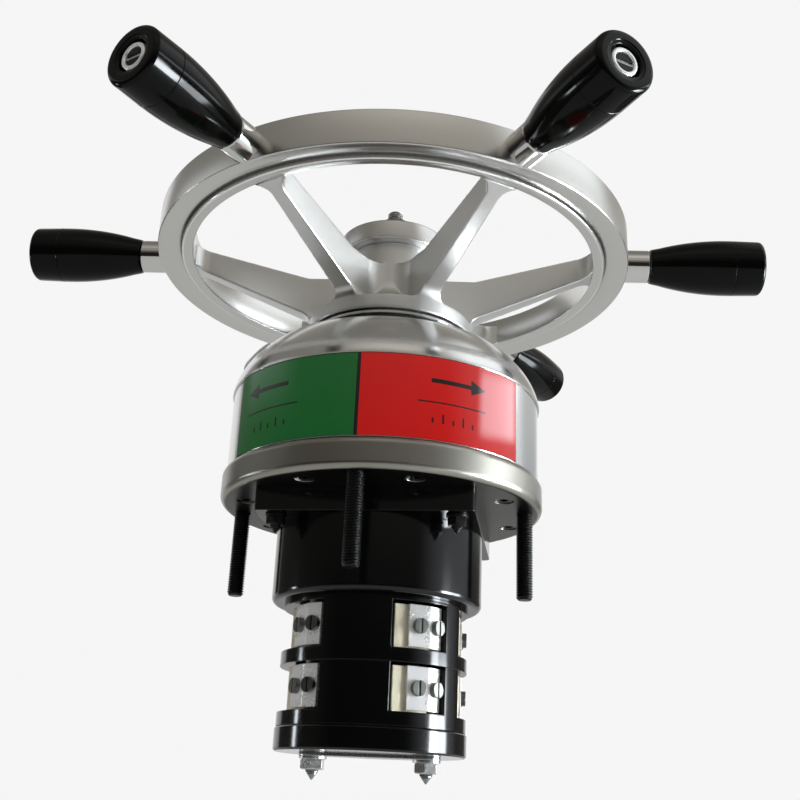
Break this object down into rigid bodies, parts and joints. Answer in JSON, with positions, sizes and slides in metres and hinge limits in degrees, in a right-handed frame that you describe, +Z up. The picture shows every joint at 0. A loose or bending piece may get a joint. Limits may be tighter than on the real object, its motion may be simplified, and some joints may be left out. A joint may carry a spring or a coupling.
{
  "type": "boat steering helm",
  "caption": "Console steering helm: a spoked wheel with turning grips on a domed housing, sprung to centre, driving a rotary contact switch below the panel.",
  "frame": {"origin": "centre of the mounting flange's underside, on the steering shaft's axis", "axes": "+Z up along the steering shaft, -Y towards the helmsman, where the label's halves meet"},
  "size_m": [0.3936, 0.3682, 0.2969],
  "materials": {
    "cast_aluminium": "bead blasted and lacquered",
    "turned_aluminium": "satin turned",
    "stainless": "ground",
    "polished_steel": "polished",
    "zinc_steel": "zinc plated",
    "dark_steel": "dull plated",
    "black_steel": "black oxide",
    "spring_steel": "drawn wire",
    "bronze": "machined",
    "black_grip": "polished",
    "black_rubber": "matt",
    "black_phenolic": "moulded, glossy",
    "brown_phenolic": "moulded",
    "green_label": "glossy film",
    "red_label": "glossy film",
    "black_label": "glossy film",
    "brass_plate": "tumbled",
    "nickel": "nickel plated"
  },
  "bodies": {
    "housing": {"dome_housing": "turned_aluminium", "shaft_seal": "black_rubber", "seal_washer": "stainless", "label_green": "green_label", "label_red": "red_label", "label_strip": "black_label", "mounting_flange": "turned_aluminium", "mounting_studs": "black_steel", "housing_screws": "dark_steel", "upper_bush": "bronze", "lower_bush": "bronze", "return_spring": "spring_steel", "spring_post": "zinc_steel", "stop_pins": "zinc_steel", "switch_base_plate": "black_phenolic", "plate_screws": "black_steel", "plate_nuts": "black_steel", "switch_drum": "black_phenolic", "upper_tier": "black_phenolic", "lower_tier": "black_phenolic", "terminal_plates": "brass_plate", "terminal_clamps": "nickel", "terminal_screws": "nickel", "bottom_cap": "black_phenolic", "end_strap": "zinc_steel", "tie_rods": "zinc_steel", "rod_washers": "zinc_steel", "rod_nuts": "zinc_steel"},
    "steering": {"wheel": "cast_aluminium", "hub_cap": "turned_aluminium", "hub_washer": "zinc_steel", "hub_nut": "dark_steel", "steering_shaft": "stainless", "shaft_key": "stainless", "handle_ferrules": "polished_steel", "handle_spindles": "polished_steel", "shaft_circlip": "dark_steel", "centring_arm": "zinc_steel", "shaft_coupling": "zinc_steel", "switch_spindle": "zinc_steel", "contact_cams": "brown_phenolic"},
    "grip_1": {"grip_1": "black_grip"},
    "grip_2": {"grip_2": "black_grip"},
    "grip_3": {"grip_3": "black_grip"},
    "grip_4": {"grip_4": "black_grip"},
    "grip_5": {"grip_5": "black_grip"},
    "grip_6": {"grip_6": "black_grip"}
  },
  "joints": [
    {"name": "wheel_turn", "type": "hinge", "parent": "housing", "child": "steering", "pos_m": [0, 0, 0.0945], "axis": [0, 0, 1], "range_deg": [-45, 45], "stiffness_Nm_per_rad": 3, "deforming": ["return_spring"]},
    {"name": "grip_1_spin", "type": "hinge", "parent": "steering", "child": "grip_1", "pos_m": [0.16708, 0.01756, 0.1417], "axis": [0.9945, 0.1045, 0], "continuous": true},
    {"name": "grip_2_spin", "type": "hinge", "parent": "steering", "child": "grip_2", "pos_m": [0.06833, 0.15348, 0.1417], "axis": [0.4067, 0.9135, 0], "continuous": true},
    {"name": "grip_3_spin", "type": "hinge", "parent": "steering", "child": "grip_3", "pos_m": [-0.09875, 0.13592, 0.1417], "axis": [-0.5878, 0.809, 0], "continuous": true},
    {"name": "grip_4_spin", "type": "hinge", "parent": "steering", "child": "grip_4", "pos_m": [-0.16708, -0.01756, 0.1417], "axis": [-0.9945, -0.1045, 0], "continuous": true},
    {"name": "grip_5_spin", "type": "hinge", "parent": "steering", "child": "grip_5", "pos_m": [-0.06833, -0.15348, 0.1417], "axis": [-0.4067, -0.9135, 0], "continuous": true},
    {"name": "grip_6_spin", "type": "hinge", "parent": "steering", "child": "grip_6", "pos_m": [0.09875, -0.13592, 0.1417], "axis": [0.5878, -0.809, 0], "continuous": true}
  ]
}
